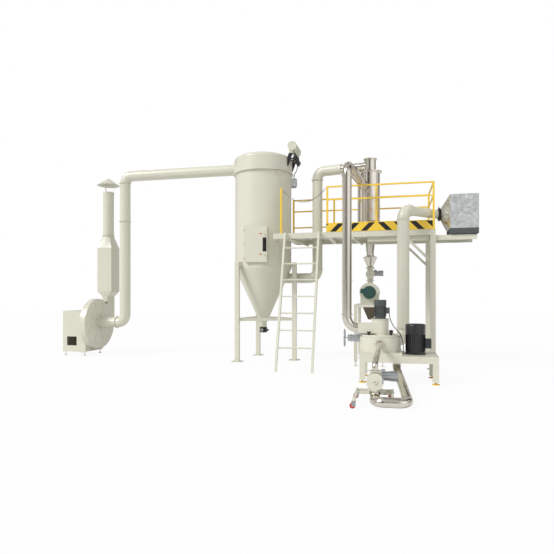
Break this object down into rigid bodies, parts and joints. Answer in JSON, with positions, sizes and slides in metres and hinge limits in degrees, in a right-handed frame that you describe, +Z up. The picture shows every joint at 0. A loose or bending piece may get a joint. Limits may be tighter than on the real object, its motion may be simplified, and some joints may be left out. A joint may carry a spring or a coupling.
{
  "type": "air classifying mill",
  "caption": "Air classifying mill plant: grinding mill with a classifier wheel, product cyclone, sifter, bag collector, exhaust fan and a railed platform, joined by ducts.",
  "frame": {"origin": "on the floor, midway between the mill stand's four levelling feet", "axes": "+X along the row of machines from the fan towards the mill and intake filter, +Y from the front towards the collector and cyclone, +Z up"},
  "size_m": [10.05, 5.912, 5.168],
  "materials": {
    "cream_paint": "semi-gloss",
    "polished_steel": "polished",
    "yellow_paint": "semi-gloss",
    "liner_iron": "machined",
    "rotor_steel": "machined",
    "black_paint": "semi-gloss",
    "grey_paint": "semi-gloss",
    "green_paint": "semi-gloss",
    "belt_rubber": "matt",
    "red_tread": "satin",
    "zinc_sheet": "spangled",
    "bag_cloth": "felt",
    "cable_sheath": "satin",
    "silver_casting": "cast"
  },
  "bodies": {
    "plant": {"air_header": "cream_paint", "base_frame": "cream_paint", "chamber_cover": "cream_paint", "chamber_shell": "cream_paint", "classifier_cable": "cable_sheath", "classifier_housing": "cream_paint", "classifier_motor": "grey_paint", "collector_head": "cream_paint", "collector_legs": "cream_paint", "collector_shell": "cream_paint", "crossover_duct": "cream_paint", "cyclone_body": "polished_steel", "cyclone_outlet": "polished_steel", "deck_plate": "cream_paint", "discharge_valve": "cream_paint", "drive_belt": "belt_rubber", "exhaust_stack": "cream_paint", "fan_plinth": "cream_paint", "fan_scroll": "cream_paint", "feeder": "silver_casting", "filter_bags": "bag_cloth", "filter_housing": "zinc_sheet", "floor_loop": "polished_steel", "grinding_liner": "liner_iron", "guard_rails": "yellow_paint", "intake_duct": "cream_paint", "ladder": "cream_paint", "ladder_chain": "rotor_steel", "level_pads": "yellow_paint", "main_motor": "black_paint", "platform_frame": "cream_paint", "product_riser": "polished_steel", "product_valve_body": "polished_steel", "rain_cap": "cream_paint", "reject_pipe": "polished_steel", "reject_valve_body": "cream_paint", "return_duct": "cream_paint", "sifter_housing": "cream_paint", "sifter_motor": "green_paint", "sifter_stand": "cream_paint", "trolley_frame": "cream_paint"},
    "mill_rotor": {"mill_rotor": "rotor_steel"},
    "motor_pulley": {"motor_pulley": "rotor_steel"},
    "classifier_wheel": {"classifier_wheel": "rotor_steel"},
    "product_valve_rotor": {"product_valve_rotor": "rotor_steel"},
    "sifter_rotor": {"sifter_rotor": "rotor_steel"},
    "collector_door": {"collector_door": "cream_paint"},
    "discharge_disc": {"discharge_disc": "rotor_steel"},
    "fan_wheel": {"fan_wheel": "rotor_steel"},
    "damper_blade": {"damper_blade": "rotor_steel"},
    "reject_valve_rotor": {"reject_valve_rotor": "rotor_steel"},
    "feeder_handwheel": {"feeder_handwheel": "silver_casting"},
    "caster_fork_front_left": {"caster_fork_front_left": "rotor_steel"},
    "caster_wheel_front_left": {"caster_wheel_front_left": "red_tread"},
    "caster_fork_front_right": {"caster_fork_front_right": "rotor_steel"},
    "caster_wheel_front_right": {"caster_wheel_front_right": "red_tread"},
    "caster_fork_rear_left": {"caster_fork_rear_left": "rotor_steel"},
    "caster_wheel_rear_left": {"caster_wheel_rear_left": "red_tread"},
    "caster_fork_rear_right": {"caster_fork_rear_right": "rotor_steel"},
    "caster_wheel_rear_right": {"caster_wheel_rear_right": "red_tread"}
  },
  "joints": [
    {"name": "mill_spin", "type": "hinge", "parent": "plant", "child": "mill_rotor", "pos_m": [-0.32, 0, 0.47], "axis": [0, 0, 1], "continuous": true},
    {"name": "motor_spin", "type": "hinge", "parent": "plant", "child": "motor_pulley", "pos_m": [0.3, 0, 0.43], "axis": [0, 0, 1], "continuous": true},
    {"name": "classifier_spin", "type": "hinge", "parent": "plant", "child": "classifier_wheel", "pos_m": [-0.32, 0, 1], "axis": [0, 0, 1], "continuous": true},
    {"name": "product_valve_spin", "type": "hinge", "parent": "plant", "child": "product_valve_rotor", "pos_m": [-0.595, 2.45, 2.03], "axis": [0, 1, 0], "continuous": true},
    {"name": "sifter_spin", "type": "hinge", "parent": "plant", "child": "sifter_rotor", "pos_m": [-0.595, 2.45, 1.61], "axis": [0, 1, 0], "continuous": true},
    {"name": "door_hinge", "type": "hinge", "parent": "plant", "child": "collector_door", "pos_m": [-3.442, 1.766, 2.31], "axis": [0, 0, -1], "range_deg": [0, 120]},
    {"name": "discharge_turn", "type": "hinge", "parent": "plant", "child": "discharge_disc", "pos_m": [-3.16, 2.5, 0.715], "axis": [0, 1, 0], "range_deg": [0, 90]},
    {"name": "fan_spin", "type": "hinge", "parent": "plant", "child": "fan_wheel", "pos_m": [-7.695, 2.5, 0.85], "axis": [1, 0, 0], "continuous": true},
    {"name": "damper_turn", "type": "hinge", "parent": "plant", "child": "damper_blade", "pos_m": [0.875, 1.88, 3.27], "axis": [0, 0, 1], "range_deg": [0, 90]},
    {"name": "reject_valve_spin", "type": "hinge", "parent": "plant", "child": "reject_valve_rotor", "pos_m": [-0.35, -2.15, 0.322], "axis": [0, 1, 0], "continuous": true},
    {"name": "feed_handwheel_spin", "type": "hinge", "parent": "plant", "child": "feeder_handwheel", "pos_m": [-0.985, 0.23, 0.732], "axis": [1, 0, 0], "continuous": true},
    {"name": "caster_swivel_front_left", "type": "hinge", "parent": "plant", "child": "caster_fork_front_left", "pos_m": [-0.617, -2.517, 0.112], "axis": [0, 0, 1], "continuous": true},
    {"name": "caster_roll_front_left", "type": "hinge", "parent": "caster_fork_front_left", "child": "caster_wheel_front_left", "pos_m": [-0.639, -2.517, 0.04], "axis": [0, 1, 0], "continuous": true},
    {"name": "caster_swivel_front_right", "type": "hinge", "parent": "plant", "child": "caster_fork_front_right", "pos_m": [-0.11, -2.24, 0.112], "axis": [0, 0, 1], "continuous": true},
    {"name": "caster_roll_front_right", "type": "hinge", "parent": "caster_fork_front_right", "child": "caster_wheel_front_right", "pos_m": [-0.132, -2.24, 0.04], "axis": [0, 1, 0], "continuous": true},
    {"name": "caster_swivel_rear_left", "type": "hinge", "parent": "plant", "child": "caster_fork_rear_left", "pos_m": [-0.617, -1.8, 0.112], "axis": [0, 0, 1], "continuous": true},
    {"name": "caster_roll_rear_left", "type": "hinge", "parent": "caster_fork_rear_left", "child": "caster_wheel_rear_left", "pos_m": [-0.639, -1.8, 0.04], "axis": [0, 1, 0], "continuous": true},
    {"name": "caster_swivel_rear_right", "type": "hinge", "parent": "plant", "child": "caster_fork_rear_right", "pos_m": [-0.11, -1.8, 0.112], "axis": [0, 0, 1], "continuous": true},
    {"name": "caster_roll_rear_right", "type": "hinge", "parent": "caster_fork_rear_right", "child": "caster_wheel_rear_right", "pos_m": [-0.132, -1.8, 0.04], "axis": [0, 1, 0], "continuous": true}
  ],
  "couplings": [
    {"joint": "motor_spin", "follows": "mill_spin", "ratio": 0.73809}
  ]
}
